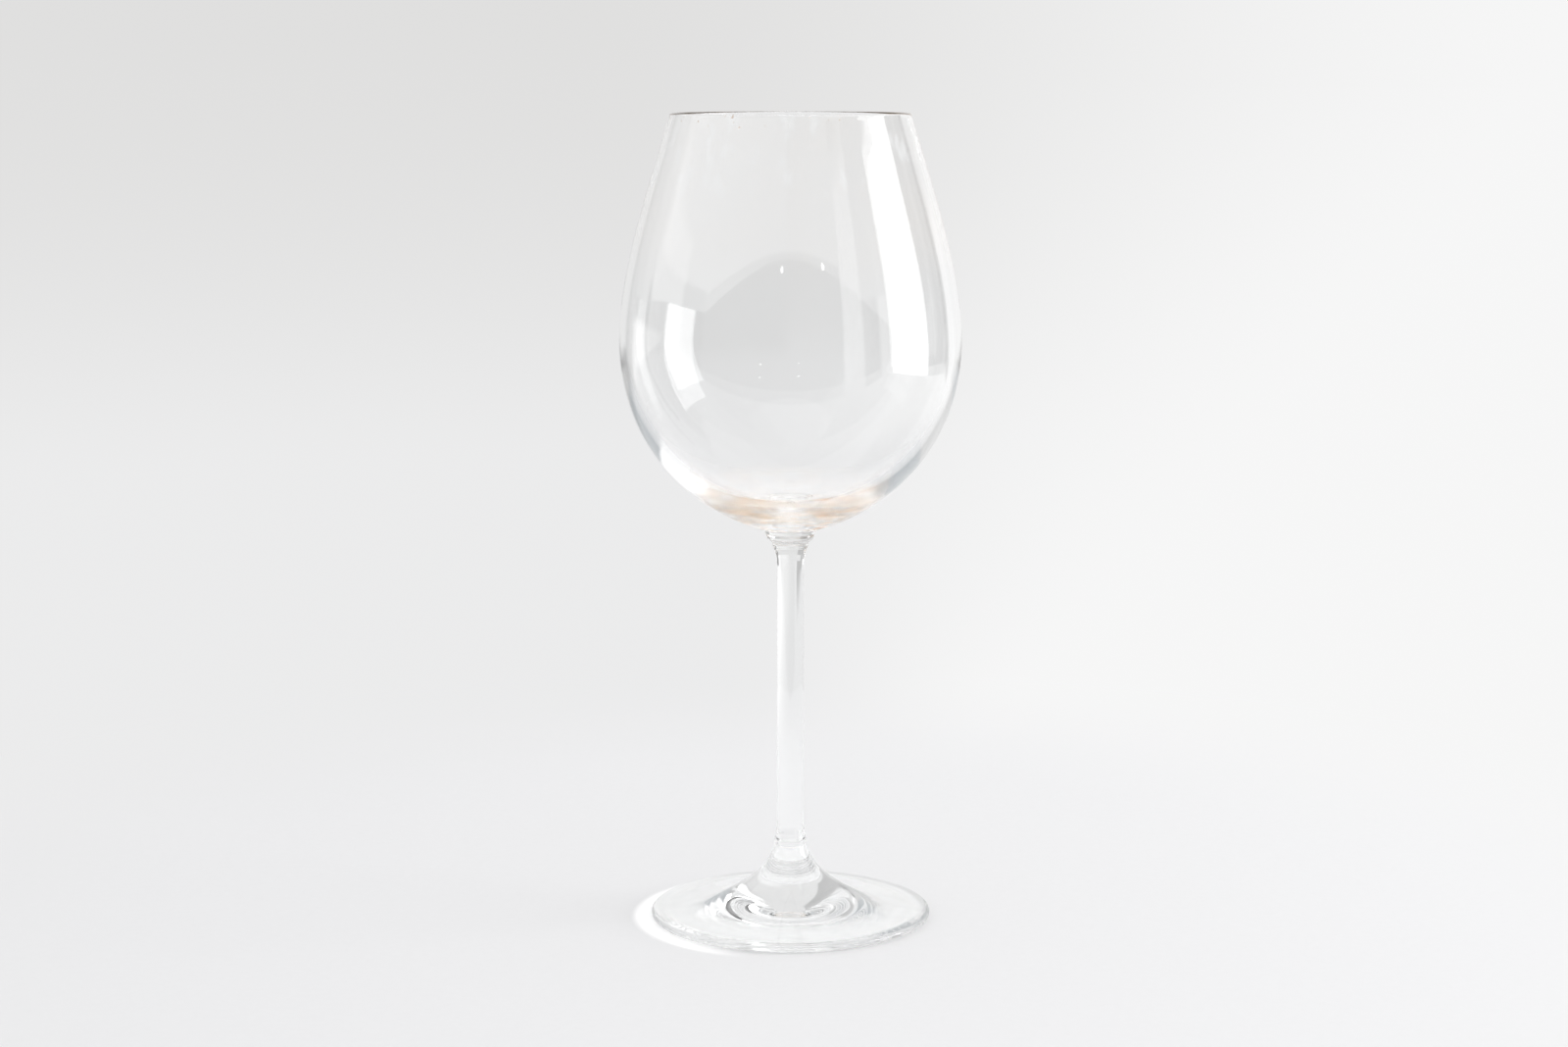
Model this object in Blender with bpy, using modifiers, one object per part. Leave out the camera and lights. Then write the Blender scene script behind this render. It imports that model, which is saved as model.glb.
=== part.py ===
"""Stemmed red-wine glass, made of five pieces of clear glass fused end to end.

From the table up: a pressed foot, a foot collar, a drawn stem, a bowl collar and a blown bowl.
Units are metres and +Z is up. The origin is the centre of the ring that the foot stands on.
Every piece is round about Z: a half-profile in the XZ plane, turned by a Screw modifier.
"""

import math

import bpy

# Foot: a pressed disc that rises to a short neck, hollowed underneath
FOOT_RADIUS = 0.0394
FOOT_HEIGHT = 0.0203
FOOT_EDGE = 0.0022
FOOT_SLOPE = math.radians(6.0)
STAND_RING_WIDTH = 0.0032
FOOT_HOLLOW = 0.0024
NECK_RADIUS = 0.0043
NECK_SPREAD = math.radians(20.0)
NECK_REACH = 0.0068
DISC_REACH = 0.0270

# Foot collar: the wafer that joins the stem to the neck of the foot
FOOT_COLLAR_HEIGHT = 0.0026
FOOT_COLLAR_BULGE = 0.0002

# Stem: a solid drawn rod that flares into the bowl collar
STEM_LENGTH = 0.0819
STEM_RADIUS = 0.00378
STEM_TAIL_RADIUS = 0.0041
STEM_TAIL_LENGTH = 0.0040
STEM_HEAD_RADIUS = 0.0049
STEM_HEAD_LENGTH = 0.0080

# Bowl collar: the tapered wafer under the bowl
BOWL_COLLAR_HEIGHT = 0.0033
BOWL_COLLAR_STEP = 0.0005
BOWL_COLLAR_EDGE = 0.0004

# Bowl: a blown shell with an even wall, a full belly and a heavy bottom
BOWL_HEIGHT = 0.1157
BELLY_RADIUS = 0.0472
BELLY_HEIGHT = 0.0535
RIM_RADIUS = 0.0333
RIM_LEAN = math.radians(14.5)
BUTTON_RADIUS = 0.0072
BUTTON_HEIGHT = 0.0010
RIM_WALL = 0.0014
BELLY_WALL = 0.0016
BASE_THICKNESS = 0.0065

# Reach of the curve handles at the rim, above the belly, below it and at the bottom.
# They keep the two faces nearly parallel from the belly to the rim.
OUTER_PULLS = (0.0161, 0.0210, 0.0406, 0.0032)
INNER_PULLS = (0.0170, 0.0204, 0.0265, 0.0237)

# The pieces are fused flat end on flat end, with this much left between the solids
SEAM = 0.0003

# Where each piece starts above the table
FOOT_COLLAR_Z = FOOT_HEIGHT + SEAM
STEM_Z = FOOT_COLLAR_Z + FOOT_COLLAR_HEIGHT + SEAM
BOWL_COLLAR_Z = STEM_Z + STEM_LENGTH + SEAM
BOWL_Z = BOWL_COLLAR_Z + BOWL_COLLAR_HEIGHT + SEAM

# Facets round the axis of the wide pieces and of the slender ones
WIDE_STEPS = 64
SLENDER_STEPS = 36

# Straight stretches that stand for each curve of the profiles
SHOULDER_POINTS = 12
CUP_POINTS = 16
RIM_POINTS = 6
DISC_POINTS = 16
EDGE_POINTS = 7
HOLLOW_POINTS = 10
FLARE_POINTS = 8

# Look of the glass: clear soda-lime with a breath of green in the thick pieces
THIN_GLASS = (0.97, 0.98, 0.98)
THICK_GLASS = (0.94, 0.97, 0.96)
GLASS_ROUGHNESS = 0.02
GLASS_IOR = 1.52


def bezier(start, start_handle, end_handle, end, steps):
    """Points (radius, height) along a cubic Bezier curve, both ends included."""
    points = []
    for i in range(steps + 1):
        t = i / steps
        weights = ((1 - t) ** 3, 3 * t * (1 - t) ** 2, 3 * t * t * (1 - t), t**3)
        corners = (start, start_handle, end_handle, end)
        radius = sum(w * p[0] for w, p in zip(weights, corners))
        height = sum(w * p[1] for w, p in zip(weights, corners))
        points.append((radius, height))
    return points


def arc(centre, radius, start_angle, end_angle, steps):
    """Points (radius, height) along a circular arc, both ends included."""
    points = []
    for i in range(steps + 1):
        angle = start_angle + (end_angle - start_angle) * i / steps
        points.append((centre[0] + radius * math.cos(angle), centre[1] + radius * math.sin(angle)))
    return points


def bowl_side(rim, belly, bottom, pulls):
    """One face of the bowl's wall, from the rim out to the belly and in to the bottom."""
    rim_pull, shoulder_pull, cup_pull, bottom_pull = pulls
    rim_handle = (rim[0] + rim_pull * math.sin(RIM_LEAN), rim[1] - rim_pull * math.cos(RIM_LEAN))
    shoulder_handle = (belly[0], belly[1] + shoulder_pull)
    cup_handle = (belly[0], belly[1] - cup_pull)
    bottom_handle = (bottom[0] + bottom_pull, bottom[1])
    shoulder = bezier(rim, rim_handle, shoulder_handle, belly, SHOULDER_POINTS)
    cup = bezier(belly, cup_handle, bottom_handle, bottom, CUP_POINTS)
    return joined(shoulder, cup)


def joined(*runs):
    """One profile from several runs of points, without the point that two runs share."""
    profile = list(runs[0])
    for run in runs[1:]:
        profile.extend(run[1:] if math.dist(profile[-1], run[0]) < 1e-9 else run)
    return profile


def foot_profile():
    """Down the neck and out over the disc, round the edge, then up into the hollow."""
    edge_radius = FOOT_EDGE / 2
    edge_centre = (FOOT_RADIUS - edge_radius, edge_radius)
    neck = (NECK_RADIUS, FOOT_HEIGHT)
    neck_handle = (
        neck[0] + NECK_REACH * math.sin(NECK_SPREAD),
        neck[1] - NECK_REACH * math.cos(NECK_SPREAD),
    )
    edge_top = arc(edge_centre, edge_radius, math.pi / 2 - FOOT_SLOPE, -math.pi / 2, EDGE_POINTS)
    disc_handle = (
        edge_top[0][0] - DISC_REACH * math.cos(FOOT_SLOPE),
        edge_top[0][1] + DISC_REACH * math.sin(FOOT_SLOPE),
    )
    disc = bezier(neck, neck_handle, disc_handle, edge_top[0], DISC_POINTS)
    ring_inside = (edge_centre[0] - STAND_RING_WIDTH, 0.0)
    hollow_reach = ring_inside[0] / 2
    hollow = bezier(
        ring_inside,
        (ring_inside[0] - hollow_reach, FOOT_HOLLOW),
        (hollow_reach, FOOT_HOLLOW),
        (0.0, FOOT_HOLLOW),
        HOLLOW_POINTS,
    )
    return joined([(0.0, FOOT_HEIGHT)], disc, edge_top, hollow)


def foot_collar_profile():
    """A short drum with a slight bulge, between the stem's tail and the neck."""
    middle = FOOT_COLLAR_HEIGHT / 2
    bulge_radius = max(STEM_TAIL_RADIUS, NECK_RADIUS) + FOOT_COLLAR_BULGE
    side = bezier(
        (STEM_TAIL_RADIUS, FOOT_COLLAR_HEIGHT),
        (bulge_radius, middle),
        (bulge_radius, middle),
        (NECK_RADIUS, 0.0),
        FLARE_POINTS,
    )
    return joined([(0.0, FOOT_COLLAR_HEIGHT)], side, [(0.0, 0.0)])


def stem_profile():
    """A straight rod with a flared head and a slightly swollen tail."""
    head_reach = STEM_HEAD_LENGTH / 2
    tail_reach = STEM_TAIL_LENGTH / 2
    head = bezier(
        (STEM_HEAD_RADIUS, STEM_LENGTH),
        (STEM_RADIUS, STEM_LENGTH - head_reach / 2),
        (STEM_RADIUS, STEM_LENGTH - head_reach),
        (STEM_RADIUS, STEM_LENGTH - STEM_HEAD_LENGTH),
        FLARE_POINTS,
    )
    tail = bezier(
        (STEM_RADIUS, STEM_TAIL_LENGTH),
        (STEM_RADIUS, tail_reach),
        (STEM_RADIUS, tail_reach),
        (STEM_TAIL_RADIUS, 0.0),
        FLARE_POINTS,
    )
    return joined([(0.0, STEM_LENGTH)], head, tail, [(0.0, 0.0)])


def bowl_collar_profile():
    """A rounded lip under the bowl's button, swept in to the stem's head."""
    lip_radius = BUTTON_RADIUS - BOWL_COLLAR_STEP
    lip_bottom = BOWL_COLLAR_HEIGHT - BOWL_COLLAR_EDGE
    sweep_drop = lip_bottom / 2
    sweep = bezier(
        (lip_radius, lip_bottom),
        (lip_radius, lip_bottom - sweep_drop),
        (STEM_HEAD_RADIUS, sweep_drop),
        (STEM_HEAD_RADIUS, 0.0),
        FLARE_POINTS,
    )
    return joined([(0.0, BOWL_COLLAR_HEIGHT), (lip_radius, BOWL_COLLAR_HEIGHT)], sweep, [(0.0, 0.0)])


def bowl_profile():
    """Up the inside from the bottom, over the rounded rim, and down the outside to the button."""
    rim_radius = RIM_WALL / 2
    rim_centre = (RIM_RADIUS - rim_radius, BOWL_HEIGHT - rim_radius)
    rim = arc(rim_centre, rim_radius, math.pi + RIM_LEAN, RIM_LEAN, RIM_POINTS)
    belly_inside = (BELLY_RADIUS - BELLY_WALL, BELLY_HEIGHT)
    belly_outside = (BELLY_RADIUS, BELLY_HEIGHT)
    bottom_inside = (0.0, BASE_THICKNESS)
    button_edge = (BUTTON_RADIUS, BUTTON_HEIGHT)
    inside = bowl_side(rim[0], belly_inside, bottom_inside, INNER_PULLS)
    outside = bowl_side(rim[-1], belly_outside, button_edge, OUTER_PULLS)
    return joined(inside[::-1], rim, outside, [(BUTTON_RADIUS, 0.0), (0.0, 0.0)])


def glass(name, colour):
    """A clear, polished glass of its own for one piece."""
    material = bpy.data.materials.new(name)
    material.use_nodes = True
    shader = material.node_tree.nodes["Principled BSDF"]
    shader.inputs["Base Color"].default_value = (*colour, 1.0)
    shader.inputs["Roughness"].default_value = GLASS_ROUGHNESS
    shader.inputs["Metallic"].default_value = 0.0
    shader.inputs["IOR"].default_value = GLASS_IOR
    shader.inputs["Transmission Weight"].default_value = 1.0
    return material


def turned(name, profile, height, steps, colour, collection, parent):
    """One piece of the glass: its half-profile turned about Z, standing at the given height."""
    points = [(radius, 0.0, level) for radius, level in profile]
    edges = [(i, i + 1) for i in range(len(points) - 1)]
    mesh = bpy.data.meshes.new(name)
    mesh.from_pydata(points, edges, [])
    mesh.materials.append(glass(f"{name}_glass", colour))
    piece = bpy.data.objects.new(name, mesh)
    piece.location.z = height
    piece.parent = parent
    collection.objects.link(piece)
    screw = piece.modifiers.new("turned", "SCREW")
    screw.axis = "Z"
    screw.angle = 2 * math.pi
    screw.steps = steps
    screw.render_steps = steps
    screw.use_merge_vertices = True
    screw.merge_threshold = 0.000001
    screw.use_smooth_shade = True
    return piece


def main():
    for old in list(bpy.data.objects):
        bpy.data.objects.remove(old)
    collection = bpy.data.collections.new("wine_glass")
    bpy.context.scene.collection.children.link(collection)
    stand = bpy.data.objects.new("stand_centre", None)
    collection.objects.link(stand)

    wide = (WIDE_STEPS, THIN_GLASS, collection, stand)
    pressed = (WIDE_STEPS, THICK_GLASS, collection, stand)
    slender = (SLENDER_STEPS, THICK_GLASS, collection, stand)
    turned("foot", foot_profile(), 0.0, *pressed)
    turned("foot_collar", foot_collar_profile(), FOOT_COLLAR_Z, *slender)
    turned("stem", stem_profile(), STEM_Z, *slender)
    turned("bowl_collar", bowl_collar_profile(), BOWL_COLLAR_Z, *slender)
    turned("bowl", bowl_profile(), BOWL_Z, *wide)


main()
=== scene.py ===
# %% [markdown]
# # A stemmed wine glass, dressed for its photograph
# The real glass is five lumps of clear glass fused end to end: a blown bowl with a heavy bottom, two
# wafer-thin collars, a drawn stem and a pressed foot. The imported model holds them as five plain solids.
# That frame stays as it is. Here each solid gets a finer skin and a real glass finish, and the glass
# stands in a small bright studio, because clear glass only shows what is around it.

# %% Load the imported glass
import math

import bpy
import numpy as np
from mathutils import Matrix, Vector


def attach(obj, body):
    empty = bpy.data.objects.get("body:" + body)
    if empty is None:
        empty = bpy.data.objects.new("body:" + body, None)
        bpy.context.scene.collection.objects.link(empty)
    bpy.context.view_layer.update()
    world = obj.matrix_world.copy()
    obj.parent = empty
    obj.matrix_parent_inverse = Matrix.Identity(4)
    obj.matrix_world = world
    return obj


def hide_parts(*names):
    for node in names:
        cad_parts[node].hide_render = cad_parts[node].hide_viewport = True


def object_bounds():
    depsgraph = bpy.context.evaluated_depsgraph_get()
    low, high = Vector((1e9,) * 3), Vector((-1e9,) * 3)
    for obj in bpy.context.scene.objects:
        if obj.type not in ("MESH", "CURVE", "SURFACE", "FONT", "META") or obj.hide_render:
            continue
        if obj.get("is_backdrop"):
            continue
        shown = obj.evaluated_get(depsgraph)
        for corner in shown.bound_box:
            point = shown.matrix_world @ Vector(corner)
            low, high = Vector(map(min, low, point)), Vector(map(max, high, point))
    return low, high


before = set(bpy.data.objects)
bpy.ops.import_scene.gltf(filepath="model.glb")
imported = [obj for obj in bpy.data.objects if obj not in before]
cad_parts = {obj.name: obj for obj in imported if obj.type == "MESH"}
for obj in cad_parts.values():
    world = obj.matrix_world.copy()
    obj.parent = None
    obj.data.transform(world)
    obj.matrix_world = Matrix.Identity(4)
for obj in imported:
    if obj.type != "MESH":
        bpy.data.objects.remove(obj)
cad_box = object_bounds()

scene = bpy.context.scene
print(f"loaded {sorted(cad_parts)}, {cad_box[1].z * 1000:.1f} mm tall")

# %% [markdown]
# ## The camera
# The ellipses of the foot and of the rim tell where the picture was taken from: a little above the rim,
# 0.83 m away, tilted down by less than nine degrees. Blender's lens length follows from a 36 mm sensor.
# The stem stands a touch right of the middle, so the camera steps to the left instead of shifting.

# %% Set the camera
CAMERA_DISTANCE = 0.827
CAMERA_HEIGHT = 0.2365
CAMERA_STEP_LEFT = 0.0018
CAMERA_TILT = math.radians(8.574)
CAMERA_LENS = 69.0

camera_data = bpy.data.cameras.new("camera")
camera_data.lens = CAMERA_LENS
camera_data.sensor_width = 36.0
camera_data.clip_start = 0.01
camera = bpy.data.objects.new("camera", camera_data)
camera.location = (-CAMERA_STEP_LEFT, -CAMERA_DISTANCE, CAMERA_HEIGHT)
camera.rotation_euler = (math.pi / 2 - CAMERA_TILT, 0.0, 0.0)
scene.collection.objects.link(camera)
scene.camera = camera
print(f"camera {CAMERA_DISTANCE * 1000:.0f} mm away with a {CAMERA_LENS:.0f} mm lens")

# %% [markdown]
# ## Reading each solid's profile
# Every piece is round, so its whole shape is one half-profile, as a glass cutter's template would be.
# We could type the curve again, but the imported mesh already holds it: its points at +X lie on the true
# profile. Walking from point to point along that edge gives the template back in order.

# %% Walk along a solid's half-profile
ON_AXIS = 1e-6


def half_profile(node):
    """The (radius, height) points of a round solid, in order, from its higher end to its lower one."""
    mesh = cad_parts[node].data
    on_edge = {}
    for vertex in mesh.vertices:
        if abs(vertex.co.y) < ON_AXIS and vertex.co.x > -ON_AXIS:
            on_edge[vertex.index] = (round(max(vertex.co.x, 0.0), 7), round(vertex.co.z, 7))
    links = {}
    for edge in mesh.edges:
        a, b = (on_edge.get(i) for i in edge.vertices)
        if a and b and a != b:
            links.setdefault(a, set()).add(b)
            links.setdefault(b, set()).add(a)
    # Only the two ends of the chain have a single neighbour
    chain_ends = sorted((p for p in links if len(links[p]) == 1), key=lambda p: p[1])
    walk = [chain_ends[-1]]
    while walk[-1] != chain_ends[0]:
        walk.append(next(p for p in links[walk[-1]] if p not in walk[-2:]))
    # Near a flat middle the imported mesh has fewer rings, and the walk stops short of the axis
    walk.extend({p for p in on_edge.values() if p[0] < ON_AXIS} - set(walk))
    return [Vector(p) for p in walk]


profiles = {node: half_profile(node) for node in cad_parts}
print({node: len(points) for node, points in profiles.items()})

# %% [markdown]
# ## Where the pieces are fused
# The solids keep a hair's gap at each seam, so that they stay five bodies. Rendered as glass, such a gap
# would shine like a mirror, and the real seams are melted shut. So each skin runs on to the middle of its
# seam, where the next skin takes over at the same radius.

# %% Find the fused seams
SEAM_REACH = 0.0006
profile_ends = [(node, points[i]) for node, points in profiles.items() for i in (0, -1)]


def seam_for(node, end):
    """A fused end's shared radius and middle height, or None for an end on the axis."""
    for other, other_end in profile_ends:
        if end.x and other != node and abs(other_end.y - end.y) < SEAM_REACH:
            return min(end.x, other_end.x), (end.y + other_end.y) / 2
    return None


seams = {node: [seam_for(node, points[0]), seam_for(node, points[-1])] for node, points in profiles.items()}
print("seams at", sorted({round(s[1] * 1000, 2) for pair in seams.values() for s in pair if s}), "mm")

# %% [markdown]
# ## Smooth runs and melted corners
# Hot glass has no facets and no sharp corners. Blender's subdivision surface would shrink the shape, so
# each run between two corners becomes a cubic spline that passes through the solid's own points with an
# even bend, and lies level where it meets the axis. Uneven bending would show at once as rings in the
# refraction. Each corner then melts into a small round.

# %% Draw one smooth run
SKIN_STEP = 0.0009
SKIN_TURN = math.radians(5)


def smooth_run(points, directions):
    """Dense points on the spline through a run, and its two end directions; None leaves one free."""
    knots = np.array(points)
    gaps = np.linalg.norm(np.diff(knots, axis=0), axis=1)
    chords = np.diff(knots, axis=0) / gaps[:, None]
    system = np.zeros((len(knots), len(knots)))
    wanted = np.zeros((len(knots), 2))
    for i in range(1, len(knots) - 1):
        system[i, i - 1 : i + 2] = 1 / gaps[i - 1], 2 / gaps[i - 1] + 2 / gaps[i], 1 / gaps[i]
        wanted[i] = 3 * chords[i - 1] / gaps[i - 1] + 3 * chords[i] / gaps[i]
    for end, beside, chord, direction in zip((0, -1), (1, -2), (chords[0], chords[-1]), directions):
        system[end, end] = 1.0
        if direction is not None:
            wanted[end] = direction
        elif len(knots) == 2:
            wanted[end] = chord
        else:
            system[end, beside] = 1.0
            wanted[end] = 2 * chord
    slopes = np.linalg.solve(system, wanted)
    dense = []
    for i, gap in enumerate(gaps):
        turn = Vector(slopes[i]).angle(Vector(slopes[i + 1]))
        steps = math.ceil(max(gap / SKIN_STEP, turn / SKIN_TURN))
        after, before = knots[i] + slopes[i] * gap / 3, knots[i + 1] - slopes[i + 1] * gap / 3
        for t in np.arange(steps) / steps:
            weights = (1 - t) ** 3, 3 * t * (1 - t) ** 2, 3 * t * t * (1 - t), t**3
            dense.append(Vector(np.dot(weights, (knots[i], after, before, knots[i + 1]))))
    return dense + [points[-1]], [Vector(slopes[0]).normalized(), Vector(slopes[-1]).normalized()]


trial_run, _ = smooth_run(profiles["stem"], (None, None))
print(f"a trial run along the stem: {len(trial_run)} points from {len(profiles['stem'])}")

# %% [markdown]
# ## Sweeps that tighten
# Where a long sweep goes over into a tight round, as at the rim's lip or the edge of the foot, one spline
# for both would ripple. So a run also ends where the spacing of its points jumps. The long sweeps are
# drawn first, and each tight round takes over their direction, as a bead of glass does when it melts.

# %% Split a sweep where it tightens
TIGHTENS = 3.0


def drawn_sweep(points):
    """Dense points along a stretch without corners, as runs that share their directions."""
    gaps = [(b - a).length for a, b in zip(points, points[1:])]
    breaks = [0]
    for i in range(1, len(gaps)):
        if max(gaps[i - 1], gaps[i]) > TIGHTENS * min(gaps[i - 1], gaps[i]):
            breaks.append(i)
    breaks.append(len(gaps))
    known = {}
    if points[0].x < ON_AXIS:
        known[0] = Vector((1.0, 0.0))
    if points[-1].x < ON_AXIS:
        known[len(gaps)] = Vector((-1.0, 0.0))
    spans = list(zip(breaks, breaks[1:]))
    drawn = {}
    for a, b in sorted(spans, key=lambda span: -max(gaps[span[0] : span[1]])):
        drawn[a], ends = smooth_run(points[a : b + 1], (known.get(a), known.get(b)))
        known.setdefault(a, ends[0])
        known.setdefault(b, ends[1])
    return sum((drawn[a][:-1] for a, b in spans), []) + [points[-1]]


print(f"a trial sweep along the stem: {len(drawn_sweep(profiles['stem']))} points")

# %% [markdown]
# ## Melted corners
# A fire-polished edge or a fused joint has no sharp corner: the skin of hot glass pulls it round. A Bevel
# modifier would do this on the finished mesh. On the profile it takes only a short curve, which leaves
# one sweep a little before the corner and joins the next one a little after it.

# %% Melt the corners between sweeps
CORNER_TURN = math.radians(34)
MELT_REACH = 0.0004
MELT_MOST = 0.45
MELT_STEPS = 6


def cut_back(run, reach):
    """A run shortened at its end by reach, but never by more than MELT_MOST of its length."""
    run = list(run)
    reach = min(reach, MELT_MOST * sum((b - a).length for a, b in zip(run, run[1:])))
    while (run[-1] - run[-2]).length <= reach:
        reach -= (run[-1] - run[-2]).length
        run.pop()
    run[-1] = run[-1] - (run[-1] - run[-2]).normalized() * reach
    return run


def melted_profile(points):
    """The whole profile as smooth sweeps, with a small round at every corner between them."""
    corners = [0]
    for i in range(1, len(points) - 1):
        if (points[i] - points[i - 1]).angle(points[i + 1] - points[i]) > CORNER_TURN:
            corners.append(i)
    corners.append(len(points) - 1)
    sweeps = [drawn_sweep(points[a : b + 1]) for a, b in zip(corners, corners[1:])]
    melted = sweeps[0]
    for sweep in sweeps[1:]:
        corner = sweep[0]
        melted = cut_back(melted, MELT_REACH)
        sweep = cut_back(sweep[::-1], MELT_REACH)[::-1]
        start, end = melted[-1], sweep[0]
        for i in range(1, MELT_STEPS):
            t = i / MELT_STEPS
            melted.append(start * (1 - t) ** 2 + corner * 2 * t * (1 - t) + end * t * t)
        melted = melted + sweep
    return melted


print(f"the foot's profile, melted: {len(melted_profile(profiles['foot']))} points")

# %% [markdown]
# ## The profile of each skin
# Each skin's profile is its solid's, run on to the seams, smoothed, and melted at the corners. The rim of
# a blown glass is cut and then polished in a flame, which draws the last bit of the wall in, so the lip
# of the bowl leans in by a hair. A spline can swell between its points, so each profile is then held to
# the box of its solid.

# %% Draw the skin profiles
LIP_LEAN = 0.00025
LIP_REACH = 0.0115


def skin_profile(node):
    """A piece's skin profile, closed in at its seams and never outside its solid's box."""
    points = [p.copy() for p in profiles[node]]
    widest = max(p.x for p in points)
    lowest, highest = min(p.y for p in points), max(p.y for p in points)
    for place, seam in zip((0, -1), seams[node]):
        if seam:
            points[place].y = seam[1]
            lowest, highest = min(lowest, seam[1]), max(highest, seam[1])
        if seam and points[place].x > seam[0] + ON_AXIS:
            points.insert(0 if place == 0 else len(points), Vector(seam))
    skin = melted_profile(points)
    if node == "bowl":
        # Fire polishing draws the last bit of the wall in by a hair
        for p in skin:
            p.x -= LIP_LEAN * max(0.0, 1 - (highest - p.y) / LIP_REACH) ** 2
    narrower = min(1.0, widest / max(p.x for p in skin))
    return [Vector((p.x * narrower, min(max(p.y, lowest), highest))) for p in skin]


skin_profiles = {node: skin_profile(node) for node in profiles}
print({node: len(points) for node, points in skin_profiles.items()})

# %% [markdown]
# ## Small helpers for materials
# Shader nodes are easier to read in code when a sum or a blend is one line. These helpers add one node
# each and give back its output, so that they can be nested like plain arithmetic.

# %% Node helpers
def join(tree, value, socket):
    """Feed an input from another node's output, or set it to a plain value."""
    if isinstance(value, bpy.types.NodeSocket):
        tree.links.new(value, socket)
    elif isinstance(value, tuple) and len(socket.default_value) == 4:
        socket.default_value = (*value, 1.0)
    else:
        socket.default_value = value


def calc(tree, operation, *inputs):
    """The result of one Math node."""
    node = tree.nodes.new("ShaderNodeMath")
    node.operation = operation
    for value, socket in zip(inputs, node.inputs):
        join(tree, value, socket)
    return node.outputs[0]


def vector(tree, operation, *inputs):
    """The result of one Vector Math node."""
    node = tree.nodes.new("ShaderNodeVectorMath")
    node.operation = operation
    for value, socket in zip(inputs, node.inputs):
        join(tree, value, socket)
    return node.outputs["Value" if operation in ("LENGTH", "DISTANCE") else "Vector"]


def blend(tree, factor, a, b):
    """A colour between a and b."""
    node = tree.nodes.new("ShaderNodeMix")
    node.data_type = "RGBA"
    for value, socket in zip((factor, a, b), (node.inputs[0], node.inputs[6], node.inputs[7])):
        join(tree, value, socket)
    return node.outputs[2]


def step(tree, value, start, end, low=0.0, high=1.0):
    """A smooth step from low, where value is start, to high, where it is end."""
    node = tree.nodes.new("ShaderNodeMapRange")
    node.interpolation_type = "SMOOTHSTEP"
    for given, socket in zip((value, start, end, low, high), node.inputs):
        join(tree, given, socket)
    return node.outputs[0]


def noise(tree, place, scale, detail=3.0):
    """Soft cloudy values around 0.5, with features about 1 / scale wide."""
    node = tree.nodes.new("ShaderNodeTexNoise")
    tree.links.new(place, node.inputs["Vector"])
    node.inputs["Scale"].default_value = scale
    node.inputs["Detail"].default_value = detail
    return node.outputs[0]


print("node helpers ready")

# %% [markdown]
# ## Used glass: smears and a faint waviness
# A glass out of the cupboard is never optically perfect. Fingers and dish cloths leave smears that dull
# the gloss, and blown or drawn glass has a faint waviness that bends reflections. All the glass here
# shares both, so they are one node group, and each finish sets how strong they are.

# %% The group that all glass shares
def used_glass_group():
    """Roughness from smears, and a height field from the waviness of the glass."""
    tree = bpy.data.node_groups.new("used_glass", "ShaderNodeTree")
    for name in ("Smear", "Wave Scale"):
        tree.interface.new_socket(name, in_out="INPUT", socket_type="NodeSocketFloat")
    for name in ("Roughness", "Height"):
        tree.interface.new_socket(name, in_out="OUTPUT", socket_type="NodeSocketFloat")
    entry = tree.nodes.new("NodeGroupInput")
    result = tree.nodes.new("NodeGroupOutput")
    place = tree.nodes.new("ShaderNodeTexCoord").outputs["Object"]
    patches = step(tree, noise(tree, place, 55.0), 0.48, 0.72)
    wiped = noise(tree, vector(tree, "MULTIPLY", place, (1.0, 1.0, 0.18)), 900.0, 4.0)
    dulled = calc(tree, "MULTIPLY", patches, step(tree, wiped, 0.40, 0.75))
    tree.links.new(calc(tree, "MULTIPLY", dulled, entry.outputs["Smear"]), result.inputs["Roughness"])
    waves = tree.nodes.new("ShaderNodeTexNoise")
    tree.links.new(place, waves.inputs["Vector"])
    tree.links.new(entry.outputs["Wave Scale"], waves.inputs["Scale"])
    waves.inputs["Detail"].default_value = 1.0
    tree.links.new(waves.outputs[0], result.inputs["Height"])
    return tree


used_glass = used_glass_group()
print("group", used_glass.name, [item.name for item in used_glass.interface.items_tree])

# %% [markdown]
# ## The glass finishes
# Clear glass is a Principled shader with full transmission, an index of 1.52 and almost no colour; the
# thick solids look a little green. Blender's lamps can't find their way through bending glass, so for
# their shadow rays alone the glass turns into a plain filter, which keeps the shadow on the floor soft.

# %% Clear glass
GLASS_INDEX = 1.52
LAMP_THROUGH = (0.88, 0.88, 0.88)


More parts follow.
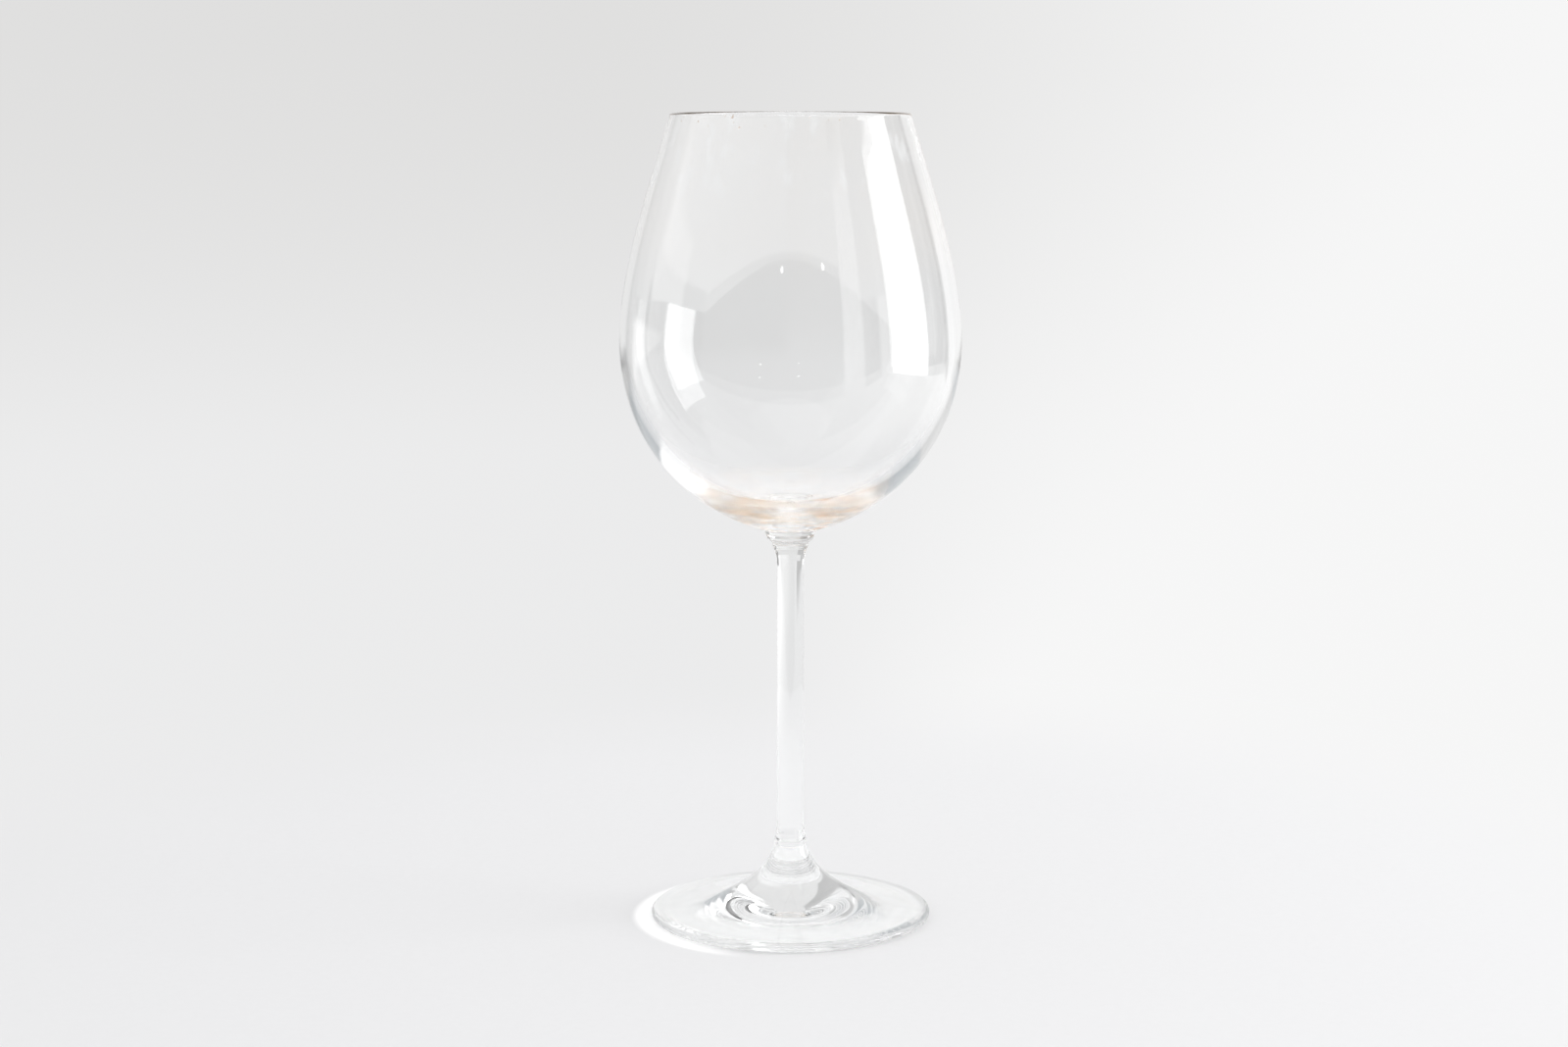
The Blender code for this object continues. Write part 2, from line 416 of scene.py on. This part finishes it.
def clear_glass(name, colour, smear, wave_scale, wave_height):
    """A glass material; returns it with its shader and the Mix Shader that lets lamps through."""
    material = bpy.data.materials.new(name)
    material.use_nodes = True
    tree = material.node_tree
    shader = tree.nodes["Principled BSDF"]
    shader.inputs["Base Color"].default_value = (*colour, 1.0)
    shader.inputs["IOR"].default_value = GLASS_INDEX
    shader.inputs["Transmission Weight"].default_value = 1.0
    wear = tree.nodes.new("ShaderNodeGroup")
    wear.node_tree = used_glass
    wear.inputs["Smear"].default_value = smear
    wear.inputs["Wave Scale"].default_value = wave_scale
    tree.links.new(wear.outputs["Roughness"], shader.inputs["Roughness"])
    bump = tree.nodes.new("ShaderNodeBump")
    bump.inputs["Distance"].default_value = wave_height
    tree.links.new(wear.outputs["Height"], bump.inputs["Height"])
    tree.links.new(bump.outputs[0], shader.inputs["Normal"])
    through = tree.nodes.new("ShaderNodeBsdfTransparent")
    join(tree, LAMP_THROUGH, through.inputs["Color"])
    for_lamps = tree.nodes.new("ShaderNodeMixShader")
    tree.links.new(tree.nodes.new("ShaderNodeLightPath").outputs["Is Shadow Ray"], for_lamps.inputs[0])
    tree.links.new(shader.outputs[0], for_lamps.inputs[1])
    tree.links.new(through.outputs[0], for_lamps.inputs[2])
    tree.links.new(for_lamps.outputs[0], tree.nodes["Material Output"].inputs["Surface"])
    return material, shader, for_lamps


BOWL_TINT = (0.997, 0.999, 0.999)
STEM_TINT = (0.992, 0.997, 0.995)
FOOT_TINT = (0.990, 0.996, 0.995)
bowl_outside, _, _ = clear_glass(
    "bowl_outside_glass", BOWL_TINT, smear=0.03, wave_scale=45.0, wave_height=0.000008
)
bowl_inside, inside_shader, inside_for_lamps = clear_glass(
    "bowl_inside_glass", BOWL_TINT, smear=0.03, wave_scale=60.0, wave_height=0.000008
)
stem_glass, _, _ = clear_glass(
    "stem_glass", STEM_TINT, smear=0.04, wave_scale=90.0, wave_height=0.00001
)
foot_glass, _, _ = clear_glass(
    "foot_glass", FOOT_TINT, smear=0.06, wave_scale=110.0, wave_height=0.00003
)

# The melted seams are clear all the way through, so their faces are left out of sight
fused_seam = bpy.data.materials.new("fused_seam")
fused_seam.use_nodes = True
fused_seam.node_tree.nodes["Principled BSDF"].inputs["Alpha"].default_value = 0.0
print("glass finishes:", [m.name for m in (bowl_outside, bowl_inside, stem_glass, foot_glass, fused_seam)])

# %% [markdown]
# ## What the wine left behind
# The bowl was rinsed, not washed: a peach and brown film has dried in rings on the heavy bottom, a few
# specks sit under the rim, and a breath of colour is left higher up, which shows where the wall is seen
# on edge. A separate sheet would float off the glass. So a thin matt finish is mixed into the inside
# face itself, where it also shows from below, through the thick glass. The film also has a painted
# glow in its own colour, which stands in for the daylight that shines through it from above.

# %% Dried wine on the inside of the bowl
BOTTOM_HEIGHT = min(p.y for p in skin_profiles["bowl"] if p.x < ON_AXIS)
RIM_HEIGHT = max(p.y for p in skin_profiles["bowl"])
PALE_FILM = (0.80, 0.84, 0.86)
PEACH_FILM = (1.0, 0.80, 0.60)
BROWN_FILM = (0.85, 0.56, 0.32)
DROP_PLACE = (0.0068, -0.0033, BOTTOM_HEIGHT + 0.0007)
DROP_BROWN = (0.62, 0.34, 0.15)
WALL_PEACH = (0.80, 0.55, 0.36)
SMEAR_GREY = (0.86, 0.86, 0.86)
SPECK_BROWN = (0.42, 0.27, 0.16)
FILM_PAINTED_GLOW = 0.65


def dried_wine(tree):
    """The film's cover, from 0 to 1, and its colour."""
    place = tree.nodes.new("ShaderNodeTexCoord").outputs["Object"]
    parts = tree.nodes.new("ShaderNodeSeparateXYZ")
    tree.links.new(place, parts.inputs[0])
    height = parts.outputs[2]
    flat = vector(tree, "MULTIPLY", place, (1.0, 1.0, 0.0))
    radius = vector(tree, "LENGTH", flat)
    # Rings: slow changes around the axis, quick changes away from it
    around = vector(tree, "MULTIPLY", vector(tree, "NORMALIZE", flat), (0.9, 0.9, 0.0))
    ring_place = tree.nodes.new("ShaderNodeCombineXYZ")
    tree.links.new(calc(tree, "MULTIPLY", radius, 260.0), ring_place.inputs[2])
    ring_place = vector(tree, "ADD", around, ring_place.outputs[0])
    ring_place = vector(tree, "ADD", ring_place, vector(tree, "MULTIPLY", place, (40.0, 40.0, 40.0)))
    rings = step(tree, noise(tree, ring_place, 1.0, 4.0), 0.40, 0.66)
    shades = noise(tree, vector(tree, "ADD", ring_place, (7.0, 3.0, 5.0)), 1.3, 3.0)
    colour = blend(tree, step(tree, shades, 0.38, 0.50), PALE_FILM, PEACH_FILM)
    colour = blend(tree, step(tree, shades, 0.54, 0.68), colour, BROWN_FILM)
    at_bottom = step(tree, height, BOTTOM_HEIGHT + 0.0070, BOTTOM_HEIGHT + 0.0030)
    cover = calc(tree, "MULTIPLY", at_bottom, calc(tree, "MULTIPLY_ADD", rings, 0.28, 0.08))
    # One thicker drop dried to a brown spot
    from_drop = vector(tree, "DISTANCE", place, DROP_PLACE)
    drop = step(tree, from_drop, 0.0030, 0.0010)
    colour = blend(tree, drop, colour, DROP_BROWN)
    cover = calc(tree, "MAXIMUM", cover, calc(tree, "MULTIPLY", drop, 0.6))
    # A breath of colour up the wall
    up_wall = calc(
        tree,
        "MULTIPLY",
        step(tree, height, BOTTOM_HEIGHT + 0.060, BOTTOM_HEIGHT + 0.080),
        step(tree, noise(tree, place, 30.0), 0.35, 0.65, 0.004, 0.016),
    )
    colour = blend(tree, at_bottom, WALL_PEACH, colour)
    cover = calc(tree, "MAXIMUM", cover, up_wall)
    # Pale smears and brown specks in a band under the rim
    under_rim = step(tree, height, RIM_HEIGHT - 0.030, RIM_HEIGHT - 0.004)
    wiped_place = vector(tree, "MULTIPLY", place, (1.0, 1.0, 0.4))
    smears = step(tree, noise(tree, wiped_place, 260.0, 5.0), 0.52, 0.72)
    smears = calc(tree, "MULTIPLY", calc(tree, "MULTIPLY", smears, under_rim), 0.10)
    colour = blend(tree, calc(tree, "GREATER_THAN", smears, 0.02), colour, SMEAR_GREY)
    cover = calc(tree, "MAXIMUM", cover, smears)
    speck_band = step(tree, height, RIM_HEIGHT - 0.0055, RIM_HEIGHT - 0.0030)
    clusters = calc(tree, "MULTIPLY", speck_band, step(tree, noise(tree, place, 60.0), 0.5, 0.6))
    specks = calc(tree, "MULTIPLY", clusters, step(tree, noise(tree, place, 900.0, 2.0), 0.66, 0.72))
    colour = blend(tree, specks, colour, SPECK_BROWN)
    cover = calc(tree, "MAXIMUM", cover, calc(tree, "MULTIPLY", specks, 0.6))
    # From the air side the film hardly shows; it shows where the glass beneath mirrors it
    from_glass = tree.nodes.new("ShaderNodeNewGeometry").outputs["Backfacing"]
    return calc(tree, "MULTIPLY", cover, step(tree, from_glass, 0.0, 1.0, 0.2, 1.0)), colour


tree = bowl_inside.node_tree
film_cover, film_colour = dried_wine(tree)
film = tree.nodes.new("ShaderNodeBsdfPrincipled")
tree.links.new(film_colour, film.inputs["Base Color"])
# Painted light: the film glows in its own colour, in place of daylight from above that shines
# through it, which a plain matt finish would not pass on
tree.links.new(film_colour, film.inputs["Emission Color"])
film.inputs["Emission Strength"].default_value = FILM_PAINTED_GLOW
film.inputs["Roughness"].default_value = 0.6
glass_and_film = tree.nodes.new("ShaderNodeMixShader")
tree.links.new(film_cover, glass_and_film.inputs[0])
tree.links.new(inside_shader.outputs[0], glass_and_film.inputs[1])
tree.links.new(film.outputs[0], glass_and_film.inputs[2])
tree.links.new(glass_and_film.outputs[0], inside_for_lamps.inputs[1])
print(f"film from {BOTTOM_HEIGHT * 1000:.1f} mm at the bottom to {RIM_HEIGHT * 1000:.1f} mm at the rim")

# %% [markdown]
# ## Turning the skins
# A lathe would be the way in the workshop, and Blender has a Screw modifier for it. Building the rings
# in code keeps each ring's finish in our hands instead: the bowl's inside differs from its outside, and
# the fused ends get clear caps, so that every skin is one closed body.

# %% Turn one skin
SKIN_SEGMENTS = 192
ANGLES = [2 * math.pi * j / SKIN_SEGMENTS for j in range(SKIN_SEGMENTS)]
RING = [(math.cos(angle), math.sin(angle)) for angle in ANGLES]


def turned_skin(node, finishes, inside_rows=0):
    """A closed skin with (outside, seam, inside) finishes; its first inside_rows rows are inside."""
    top, bottom = seams[node]
    points = list(skin_profiles[node])
    if top:
        points.insert(0, Vector((0.0, top[1])))
    if bottom:
        points.append(Vector((0.0, bottom[1])))
    vertices, rows = [], []
    for point in points:
        if point.x < ON_AXIS:
            rows.append([len(vertices)] * SKIN_SEGMENTS)
            vertices.append((0.0, 0.0, point.y))
        else:
            rows.append(list(range(len(vertices), len(vertices) + SKIN_SEGMENTS)))
            vertices.extend((point.x * c, point.x * s, point.y) for c, s in RING)
    faces, finish = [], []
    for i, (upper, lower) in enumerate(zip(rows, rows[1:])):
        is_seam = (i == 0 and top is not None) or (i == len(rows) - 2 and bottom is not None)
        for j in range(SKIN_SEGMENTS):
            k = (j + 1) % SKIN_SEGMENTS
            faces.append(list(dict.fromkeys([upper[j], lower[j], lower[k], upper[k]])))
            finish.append(1 if is_seam else 2 if i < inside_rows else 0)
    mesh = bpy.data.meshes.new(node + "_skin")
    mesh.from_pydata(vertices, [], faces)
    for material in finishes:
        mesh.materials.append(material)
    mesh.polygons.foreach_set("material_index", finish)
    mesh.shade_smooth()
    mesh.set_sharp_from_angle(angle=CORNER_TURN)
    skin = bpy.data.objects.new(node + "_skin", mesh)
    scene.collection.objects.link(skin)
    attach(skin, "root")
    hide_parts(node)
    return skin


print(f"each ring of a skin gets {SKIN_SEGMENTS} points")

# %% [markdown]
# ## Five skins, two kinds of glass
# The bowl is thin blown glass with wine on its inside, so its rows up to the rim take the inside finish.
# The collars, the stem and the foot are solid glass, drawn or pressed. Each skin takes the place of its
# own solid.

# %% Turn all five
to_rim = max(range(len(skin_profiles["bowl"])), key=lambda i: skin_profiles["bowl"][i].y)
bowl = turned_skin("bowl", (bowl_outside, fused_seam, bowl_inside), to_rim)
solids = {"bowl_collar": stem_glass, "stem": stem_glass, "foot_collar": stem_glass, "foot": foot_glass}
for node, glass in solids.items():
    turned_skin(node, (glass, fused_seam))

# %% [markdown]
# ## The room around the glass
# Glass is drawn by its surroundings: a tall window on the right makes the white strip and, mirrored in
# the far wall of the bowl, the white patch on the left; the dark room behind the camera makes the soft
# grey shape in the middle. Real walls and lamps would do, but they would stand in the way of other views.
# So the room is painted on the sky as soft rectangles, by compass direction and height above the horizon.
# The near wall of the bowl mirrors some things close by that its far wall doesn't. Light that took many
# turns inside the thick glass comes out in calmer tones, which are painted apart.

# %% Paint the room on the sky
# Each patch: light, degrees around (0 is the camera's side, + is right), degrees up, edge width, lean
CEILING = (
    (0.75, (-90, 35), (-90, 90), 1.0, 0.0),
    (0.45, (35, 104), (-90, 90), 1.0, 0.0),
    (0.78, (104, 200), (8, 90), 1.0, 0.0),
    (0.78, (-200, -90), (8, 90), 1.0, 0.0),
)
WALLS = (
    (0.00, (-80, -61), (-90, 13), 0.6, 0.0),
    (4.00, (75, 103.6), (-90, 24.3), 0.4, 0.075),
    (0.05, (103.6, 114), (-90, 40), 0.6, 0.0),
    (0.28, (114, 124), (-90, 40), 1.0, 0.0),
    (0.45, (124, 127), (-90, 40), 1.0, 0.0),
    (0.00, (127, 131), (-90, 25), 0.5, 0.0),
    (1.10, (131, 144), (-90, 8), 0.8, 0.0),
    (0.93, (144, 166), (-90, 8), 1.0, 0.0),
    (0.52, (-160, -112), (-90, 40), 1.0, 0.0),
    (0.80, (-200, -146), (-6, 8), 1.0, 0.0),
    (0.80, (-112, -80), (-90, 12.6), 1.0, 0.0),
    (1.30, (-131, -97), (-14, 0), 1.0, 0.0),
    (1.15, (-108, -79), (12.6, 18.7), 0.6, 0.0),
    (9.00, (-7.2, -5.5), (20.6, 21.5), 0.2, 0.0),
    (9.00, (22.4, 24.3), (20.6, 21.5), 0.2, 0.0),
)
# Things close by, which only the near wall of the bowl mirrors
CLOSE_BY = (
    (1.05, (35.5, 50), (-90, 30), 0.6, 0.0),
    (0.08, (50, 62), (-90, 12), 0.6, 0.0),
    (0.50, (50, 62), (12, 26), 1.0, 0.0),
    (1.00, (62, 70.3), (-90, 12), 0.6, 0.0),
    (0.60, (62, 70.3), (12, 24), 1.0, 0.0),
    (4.00, (70.3, 75.4), (-90, 25.6), 0.4, 0.075),
)
# Light that was led around inside the thick wall, by the direction it came in from
GUIDED_DIM = (0.44, 0.47, 0.49)
GUIDED = (
    (0.60, (-66, 0), (-90, 90), 3.0, 0.0),
    (1.30, (66, 118), (-90, 90), 4.0, 0.0),
    (0.85, (118, 200), (-90, 90), 4.0, 0.0),
    (0.85, (-200, -118), (-90, 90), 4.0, 0.0),
)
FRONT_WALL = (0.20, 0.20, 0.20)
FRONT_WALL_SIDES = (-61, 75)
FRONT_WALL_TOP = 0.449
FRONT_WALL_EDGE = 0.008
FAR_FRONT_SIDES = (-90, 75)
SIDES_SOFT = 0.6
BACKDROP_LEFT_HIGH = (0.745, 0.742, 0.738)
BACKDROP_LEFT_LOW = (0.835, 0.835, 0.838)
BACKDROP_RIGHT = (0.925, 0.925, 0.925)


def surroundings_group():
    """By direction: the backdrop for the camera, the room for the glass, and light led on inside it."""
    tree = bpy.data.node_groups.new("studio_surroundings", "ShaderNodeTree")
    tree.interface.new_socket("Direction", in_out="INPUT", socket_type="NodeSocketVector")
    tree.interface.new_socket("Near Wall", in_out="INPUT", socket_type="NodeSocketFloat")
    for name in ("Backdrop", "Room", "Guided"):
        tree.interface.new_socket(name, in_out="OUTPUT", socket_type="NodeSocketColor")
    entry = tree.nodes.new("NodeGroupInput")
    result = tree.nodes.new("NodeGroupOutput")
    parts = tree.nodes.new("ShaderNodeSeparateXYZ")
    tree.links.new(entry.outputs[0], parts.inputs[0])
    across, away, up = parts.outputs
    # Painted light on the backdrop: darker high on the left and brighter towards the window on the right
    left_side = blend(tree, step(tree, up, 0.02, -0.15), BACKDROP_LEFT_HIGH, BACKDROP_LEFT_LOW)
    backdrop = blend(tree, step(tree, across, -0.08, 0.27), left_side, BACKDROP_RIGHT)
    tree.links.new(backdrop, result.inputs["Backdrop"])
    azimuth = calc(tree, "DEGREES", calc(tree, "ARCTAN2", across, calc(tree, "MULTIPLY", away, -1.0)))
    elevation = calc(tree, "DEGREES", calc(tree, "ARCSINE", up))

    def between(value, ends, soft):
        """1 where value lies between the two ends, with soft borders."""
        middle, half = sum(ends) / 2, (ends[1] - ends[0]) / 2
        off_middle = calc(tree, "ABSOLUTE", calc(tree, "SUBTRACT", value, middle))
        return step(tree, off_middle, half + soft, half - soft)

    def painted(room, patches, share=1.0):
        """The room with the patches painted over it."""
        for light, az, el, soft, lean in patches:
            off_side = calc(tree, "SUBTRACT", azimuth, sum(az) / 2)
            leaned = calc(tree, "MULTIPLY_ADD", off_side, lean, elevation)
            inside = calc(tree, "MULTIPLY", between(azimuth, az, soft), between(leaned, el, soft))
            room = blend(tree, calc(tree, "MULTIPLY", inside, share), room, (light,) * 3)
        return room

    tree.links.new(painted(GUIDED_DIM, GUIDED), result.inputs["Guided"])
    room = painted(backdrop, CEILING)
    # The far wall of the bowl mirrors the front of the room dark up to the ceiling
    far_wall = calc(tree, "SUBTRACT", 1.0, entry.outputs["Near Wall"])
    far_front = calc(tree, "MULTIPLY", far_wall, between(azimuth, FAR_FRONT_SIDES, SIDES_SOFT))
    room = blend(tree, far_front, room, FRONT_WALL)
    # The wall behind the camera ends in a level edge under the ceiling
    over_edge = calc(tree, "MULTIPLY_ADD", away, FRONT_WALL_TOP, up)
    under_edge = step(tree, over_edge, FRONT_WALL_EDGE, -FRONT_WALL_EDGE)
    on_wall = calc(tree, "MULTIPLY", under_edge, between(azimuth, FRONT_WALL_SIDES, SIDES_SOFT))
    room = blend(tree, on_wall, room, FRONT_WALL)
    room = painted(painted(room, WALLS), CLOSE_BY, entry.outputs["Near Wall"])
    tree.links.new(room, result.inputs["Room"])
    return tree


surroundings = surroundings_group()
print("surroundings painted with", len(surroundings.nodes), "nodes")

# %% [markdown]
# ## Sky for four kinds of rays
# The camera looks straight at a plain pale backdrop. Rays that have been through or off the glass see the
# painted room, and those that took many turns inside it see the calmer tones. Rays that start on a matt
# surface, such as the floor, get an even white light instead, so the bright window patch adds no grain
# and the floor keeps its plain tone.

# %% Set the world
EVEN_LIGHT = (0.68, 0.68, 0.685)
GIVEN_BACK = 0.04
MOST_STRENGTH = 1.3
GUIDED_AFTER = 9.5
NEAR_WALL_PASSES = 3.0


def seen_by_ray(tree, direction):
    """The colour of the surroundings for the ray at hand, before any matt bounce."""
    around = tree.nodes.new("ShaderNodeGroup")
    around.node_tree = surroundings
    tree.links.new(direction, around.inputs["Direction"])
    path = tree.nodes.new("ShaderNodeLightPath")
    near_wall = calc(tree, "LESS_THAN", path.outputs["Transmission Depth"], NEAR_WALL_PASSES)
    tree.links.new(near_wall, around.inputs["Near Wall"])
    seen = blend(tree, path.outputs["Is Camera Ray"], around.outputs["Room"], around.outputs["Backdrop"])
    guided = calc(tree, "GREATER_THAN", path.outputs["Ray Depth"], GUIDED_AFTER)
    return blend(tree, guided, seen, around.outputs["Guided"]), path


world = bpy.data.worlds.new("studio")
scene.world = world
world.use_nodes = True
tree = world.node_tree
seen, path = seen_by_ray(tree, tree.nodes.new("ShaderNodeTexCoord").outputs["Generated"])
after_matt = calc(tree, "GREATER_THAN", path.outputs["Diffuse Depth"], 0.5)
tree.links.new(blend(tree, after_matt, seen, EVEN_LIGHT), tree.nodes["Background"].inputs["Color"])
# What each glass surface mirrors away on the path from the floor reaches the floor another way
passes = calc(tree, "MULTIPLY", after_matt, path.outputs["Transmission Depth"])
strength = calc(tree, "MULTIPLY_ADD", passes, GIVEN_BACK, 1.0)
strength = calc(tree, "MINIMUM", strength, MOST_STRENGTH)
tree.links.new(strength, tree.nodes["Background"].inputs["Strength"])
print(f"world set, with an even light of {EVEN_LIGHT[0]} for matt surfaces")

# %% [markdown]
# ## The table under the glass
# The glass stands on a white table that runs into the backdrop without a line. Near the glass it is matt
# paper that takes the shadow; further out it fades into the backdrop's own tone. In the glass it mirrors
# as a table with an edge in front and one on the right, with painted window light that makes it brighter
# towards the window. A real foot gathers light like a lens, so the paper under it and just left of it is
# painted lighter.

# %% Lay the floor
FLOOR_DROP = 0.0002
FLOOR_HALF = 40.0
PAPER_DARK = (0.79, 0.79, 0.795)
PAPER_LIGHT = (0.81, 0.81, 0.815)
PAPER_GATHERED = (0.99, 0.99, 0.99)
GATHERED_RADIUS = 0.038
GATHERED_SOFT = 0.002
GATHERED_LIGHT = (0.12, 0.12, 0.12)
THROWN_RADIUS = 0.0455
THROWN_SOFT = 0.003
EYE_OF_GLASS = (0.0, 0.0, 0.15)
TABLE_FRONT = -0.30
TABLE_RIGHT = 0.69
TABLE_BACK = 0.55
TABLE_EDGE = 0.006
TABLE_TONE = (0.83, 0.83, 0.835)
TABLE_WINDOW_PAINTED_LIGHT = (1.2, 1.2, 1.2)
FADE_START = 0.16
FADE_END = 0.34

floor_mesh = bpy.data.meshes.new("floor")
corners = [(x * FLOOR_HALF, y * FLOOR_HALF, -FLOOR_DROP) for x, y in ((-1, -1), (1, -1), (1, 1), (-1, 1))]
floor_mesh.from_pydata(corners, [], [(0, 1, 2, 3)])
floor = bpy.data.objects.new("floor", floor_mesh)
scene.collection.objects.link(floor)
floor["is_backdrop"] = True

paper = bpy.data.materials.new("white_table")
paper.use_nodes = True
floor_mesh.materials.append(paper)
tree = paper.node_tree
shader = tree.nodes["Principled BSDF"]
shader.inputs["Roughness"].default_value = 1.0
shader.inputs["Specular IOR Level"].default_value = 0.0
place = tree.nodes.new("ShaderNodeNewGeometry").outputs["Position"]
paper_tone = blend(tree, noise(tree, place, 400.0), PAPER_DARK, PAPER_LIGHT)
# Painted light: lamps don't bend in glass here, so the light that the foot gathers is painted on the
# paper as a paler, faintly glowing disc beneath it and a pale crescent just left of it
reach = vector(tree, "LENGTH", place)
gathered = step(tree, reach, GATHERED_RADIUS, GATHERED_RADIUS - GATHERED_SOFT)
parts = tree.nodes.new("ShaderNodeSeparateXYZ")
tree.links.new(place, parts.inputs[0])
on_left = step(tree, parts.outputs[0], -0.01, -0.03)
thrown = step(tree, reach, THROWN_RADIUS, THROWN_RADIUS - THROWN_SOFT)
gathered = calc(tree, "MAXIMUM", gathered, calc(tree, "MULTIPLY", on_left, thrown))
join(tree, blend(tree, gathered, paper_tone, PAPER_GATHERED), shader.inputs["Base Color"])
join(tree, blend(tree, gathered, (0.0, 0.0, 0.0), GATHERED_LIGHT), shader.inputs["Emission Color"])
shader.inputs["Emission Strength"].default_value = 1.0
seen, path = seen_by_ray(tree, vector(tree, "NORMALIZE", vector(tree, "SUBTRACT", place, EYE_OF_GLASS)))
on_table = calc(
    tree,
    "MULTIPLY",
    step(tree, parts.outputs[0], TABLE_RIGHT + TABLE_EDGE, TABLE_RIGHT - TABLE_EDGE),
    step(tree, parts.outputs[1], TABLE_FRONT - TABLE_EDGE, TABLE_FRONT + TABLE_EDGE),
)
on_table = calc(tree, "MULTIPLY", on_table, step(tree, parts.outputs[1], TABLE_BACK, TABLE_BACK - 0.15))
mirrored = calc(tree, "SUBTRACT", 1.0, path.outputs["Is Camera Ray"])
# Painted light: the table that the glass mirrors glows brighter towards the window, in place of the
# window's light falling on it
table_tone = blend(tree, step(tree, parts.outputs[0], 0.0, 0.40), TABLE_TONE, TABLE_WINDOW_PAINTED_LIGHT)
seen = blend(tree, calc(tree, "MULTIPLY", on_table, mirrored), seen, table_tone)
glow = tree.nodes.new("ShaderNodeEmission")
tree.links.new(seen, glow.inputs["Color"])
fade = tree.nodes.new("ShaderNodeMixShader")
before_matt = calc(tree, "LESS_THAN", path.outputs["Diffuse Depth"], 0.5)
far = step(tree, reach, FADE_START, FADE_END)
tree.links.new(calc(tree, "MULTIPLY", before_matt, far), fade.inputs[0])
tree.links.new(shader.outputs[0], fade.inputs[1])
tree.links.new(glow.outputs[0], fade.inputs[2])
tree.links.new(fade.outputs[0], tree.nodes["Material Output"].inputs["Surface"])
print(f"floor laid, table edges at y {TABLE_FRONT} and x {TABLE_RIGHT}")

# %% [markdown]
# ## Light from the window
# The painted window can't throw a clear shadow by itself, so one soft area lamp stands where the window
# is. It is large, so the shadow left of the foot has no hard edge, and it hides from the camera and from
# the glass, which see the painted window in its place.

# %% Set the window lamp
WINDOW_WIDTH = 2.5
WINDOW_HEIGHT = 1.7
WINDOW_PLACE = Vector((3.90, -0.30, 1.15))
WINDOW_AIM = Vector((0.0, 0.0, 0.05))
WINDOW_POWER = 245.0

lamp_data = bpy.data.lights.new("window_lamp", "AREA")
lamp_data.shape = "RECTANGLE"
lamp_data.size = WINDOW_WIDTH
lamp_data.size_y = WINDOW_HEIGHT
lamp_data.energy = WINDOW_POWER
lamp = bpy.data.objects.new("window_lamp", lamp_data)
lamp.location = WINDOW_PLACE
lamp.rotation_euler = (WINDOW_AIM - WINDOW_PLACE).to_track_quat("-Z", "Y").to_euler()
lamp.visible_camera = False
lamp.visible_glossy = False
lamp.visible_transmission = False
scene.collection.objects.link(lamp)
print(f"window lamp of {lamp_data.energy:.1f} W, {lamp.location.length:.2f} m away")

# %% [markdown]
# ## Last settings
# Light in a thick glass bottom bounces many times before it gets out. With Blender's usual limit those
# paths end in black, so the limits are raised. The view transform is Standard: a colour then renders as
# it is written. Last, both boxes are noted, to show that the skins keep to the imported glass.

# %% Finish
LIGHT_BOUNCES = 48
CLEAR_LAYERS = 32

scene.view_settings.view_transform = "Standard"
scene.cycles.max_bounces = LIGHT_BOUNCES
scene.cycles.transmission_bounces = LIGHT_BOUNCES
scene.cycles.glossy_bounces = LIGHT_BOUNCES
scene.cycles.transparent_max_bounces = CLEAR_LAYERS
visual_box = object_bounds()
beyond = [round((v - c) * 1e6, 1) for a, b in zip(visual_box, cad_box) for v, c in zip(a, b)]
print("visual box over the packed box:", beyond, "um")
